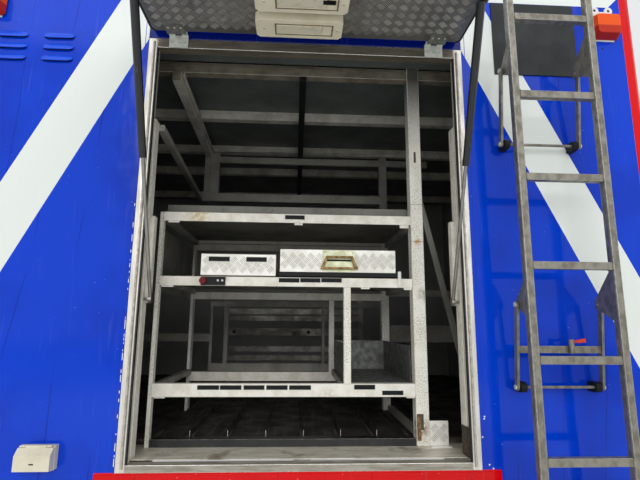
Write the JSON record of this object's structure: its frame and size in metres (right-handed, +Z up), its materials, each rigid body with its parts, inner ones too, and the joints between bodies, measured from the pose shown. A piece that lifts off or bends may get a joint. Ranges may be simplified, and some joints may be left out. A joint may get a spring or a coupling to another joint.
{
  "type": "side locker bay of a car transporter body",
  "caption": "Side bay of a car transporter body: top-hinged hatch on gas struts, locker rack with drawers, ribbed floor, and a ladder that swings down.",
  "frame": {"origin": "centre of the four subframe bolts, on the underside of the runners", "axes": "+X along the side wall to the right as seen from outside, +Y into the body from the hatch, +Z up"},
  "size_m": [2.64, 4.028, 1.97],
  "materials": {
    "body_blue": "gloss paint with white stripes, some chips",
    "trim_red": "gloss paint",
    "inner_panel": "dusty grey coating",
    "roof_coat": "pale coating",
    "frame_aluminium": "mill finish, worn",
    "tread_aluminium": "five bar tread plate",
    "rack_white": "white paint, scuffed",
    "grey_steel": "grey paint, dusty",
    "galvanised": "galvanised, dull",
    "floor_plank": "dirty ribbed planks",
    "ladder_steel": "weathered galvanised tube",
    "black_plastic": "moulded",
    "black_paint": "satin paint",
    "rod_steel": "ground and plated",
    "seal_rubber": "extruded",
    "mat_rubber": "ribbed sheet",
    "cream_plastic": "moulded",
    "lens_clear": "diffusing window",
    "lens_amber": "moulded, amber",
    "white_plastic": "moulded",
    "zinc_yellow": "yellow zinc plate",
    "lever_red": "dipped grip"
  },
  "bodies": {
    "bay": {"wall_panels": "body_blue", "far_wall": "body_blue", "end_walls": "inner_panel", "corner_posts": "trim_red", "roof_deck": "roof_coat", "sill_band": "trim_red", "subframe_runners": "galvanised", "cross_bearers": "galvanised", "floor_deck": "floor_plank", "sill_tread": "frame_aluminium", "floor_nosing": "black_paint", "hatch_frame": "frame_aluminium", "frame_seal": "seal_rubber", "hinge_fixed": "galvanised", "jamb_channels": "rack_white", "rack_posts": "rack_white", "rack_rails": "rack_white", "side_rails": "grey_steel", "rear_frame": "grey_steel", "shelves": "grey_steel", "ceiling_beams": "grey_steel", "ceiling_panel": "grey_steel", "cable_duct": "black_plastic", "bearing_blocks": "black_plastic", "drawer_runners": "black_plastic", "switch_block": "black_plastic", "marker_bases": "white_plastic", "marker_lenses": "lens_amber", "louvres": "body_blue", "inlet_housing": "cream_plastic", "rubber_mat": "mat_rubber", "foot_gusset": "tread_aluminium", "shelf_tray": "galvanised", "far_slats": "frame_aluminium"},
    "hatch": {"hatch_panel": "body_blue", "hatch_lining": "tread_aluminium", "hatch_lamps": "cream_plastic", "hatch_lenses": "lens_clear", "hinge_moving": "galvanised", "strut_brackets": "galvanised"},
    "strut_tube_left": {"strut_tube_left": "black_paint"},
    "strut_tube_right": {"strut_tube_right": "black_paint"},
    "strut_rod_left": {"strut_rod_left": "rod_steel"},
    "strut_rod_right": {"strut_rod_right": "rod_steel"},
    "upper_arm": {"swing_arm_upper": "ladder_steel"},
    "lower_arm": {"swing_arm_lower": "ladder_steel", "lock_pin": "ladder_steel", "lock_lever": "lever_red"},
    "ladder": {"ladder_stiles": "ladder_steel", "ladder_rungs": "ladder_steel", "ladder_gussets": "ladder_steel"},
    "small_drawer": {"drawer_small": "tread_aluminium"},
    "large_drawer": {"drawer_large": "tread_aluminium", "drawer_base": "black_plastic", "drawer_handle": "zinc_yellow"},
    "inlet_lid": {"inlet_lid": "cream_plastic"}
  },
  "joints": [
    {"name": "hatch_hinge", "type": "hinge", "parent": "bay", "child": "hatch", "pos_m": [0, -1.255, 1.66], "axis": [-1, 0, 0], "range_deg": [-90, 0]},
    {"name": "strut_turn_left", "type": "hinge", "parent": "hatch", "child": "strut_tube_left", "pos_m": [-0.542, -1.566, 1.607], "axis": [-1, 0, 0], "range_deg": [0, 110.5]},
    {"name": "strut_slide_left", "type": "slide", "parent": "strut_tube_left", "child": "strut_rod_left", "axis": [0, 0.3837, -0.9235], "range_m": [-0.336, 0]},
    {"name": "strut_turn_right", "type": "hinge", "parent": "hatch", "child": "strut_tube_right", "pos_m": [0.542, -1.566, 1.607], "axis": [-1, 0, 0], "range_deg": [0, 110.5]},
    {"name": "strut_slide_right", "type": "slide", "parent": "strut_tube_right", "child": "strut_rod_right", "axis": [0, 0.3837, -0.9235], "range_m": [-0.336, 0]},
    {"name": "ladder_swing", "type": "hinge", "parent": "bay", "child": "upper_arm", "pos_m": [0.8685, -1.26, 1.245], "axis": [1, 0, 0], "range_deg": [0, 165]},
    {"name": "ladder_pivot", "type": "hinge", "parent": "upper_arm", "child": "ladder", "pos_m": [0.8685, -1.295, 1.52], "axis": [1, 0, 0], "range_deg": [-165, 0]},
    {"name": "lower_arm_swing", "type": "hinge", "parent": "bay", "child": "lower_arm", "pos_m": [0.8685, -1.26, 0.38], "axis": [1, 0, 0], "range_deg": [0, 165]},
    {"name": "small_drawer_slide", "type": "slide", "parent": "bay", "child": "small_drawer", "axis": [0, -1, 0], "range_m": [0, 0.4]},
    {"name": "large_drawer_slide", "type": "slide", "parent": "bay", "child": "large_drawer", "axis": [0, -1, 0], "range_m": [0, 0.4]},
    {"name": "inlet_lid_hinge", "type": "hinge", "parent": "bay", "child": "inlet_lid", "pos_m": [-0.836, -1.253, 0.2], "axis": [-1, 0, 0], "range_deg": [0, 100]}
  ],
  "couplings": [
    {"joint": "strut_turn_left", "follows": "hatch_hinge", "ratio": -1.2255},
    {"joint": "strut_slide_left", "follows": "hatch_hinge", "m_per_rad": 0.21356},
    {"joint": "strut_turn_right", "follows": "hatch_hinge", "ratio": -1.2255},
    {"joint": "strut_slide_right", "follows": "hatch_hinge", "m_per_rad": 0.21356},
    {"joint": "ladder_pivot", "follows": "ladder_swing", "ratio": -1},
    {"joint": "lower_arm_swing", "follows": "ladder_swing", "ratio": 1}
  ]
}
